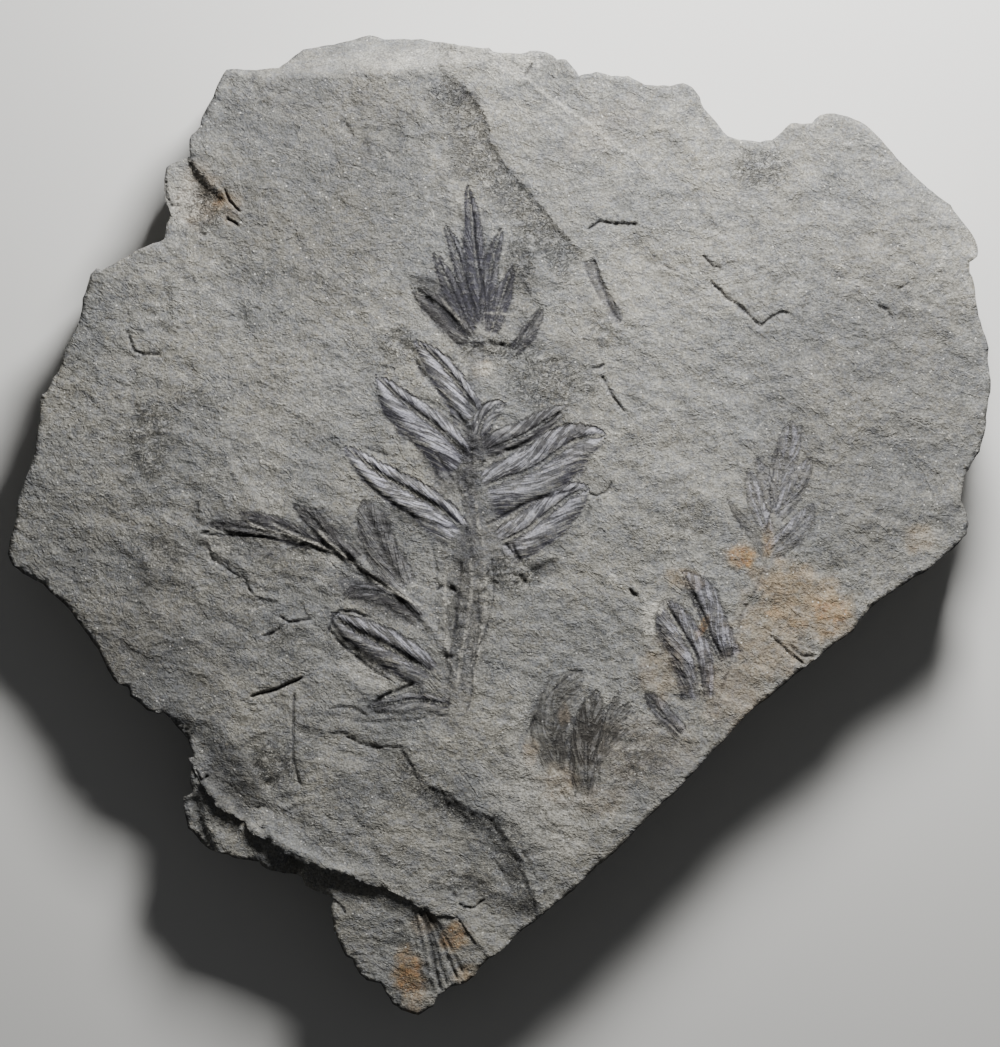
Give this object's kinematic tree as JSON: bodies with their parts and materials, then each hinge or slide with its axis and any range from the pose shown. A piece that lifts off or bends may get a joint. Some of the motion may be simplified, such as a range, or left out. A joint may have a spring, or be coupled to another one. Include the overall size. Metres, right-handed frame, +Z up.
{
  "type": "fossil seed fern in a shale slab",
  "caption": "Broken slab of grey shale lying flat, with leafy seed fern fronds pressed into its upper face in low relief and rust stains; a display specimen",
  "frame": {"origin": "middle of the slab's outline as seen from above, on the surface that the slab rests on", "axes": "+Z is up, out of the fossil face; +Y is toward the top of the fossil face, where the apex of the main frond points; +X is to the right of the face"},
  "size_m": [0.12, 0.12, 0.0145],
  "materials": {
    "shale": "matte"
  },
  "bodies": {
    "root": {"slab": "shale"}
  },
  "joints": []
}
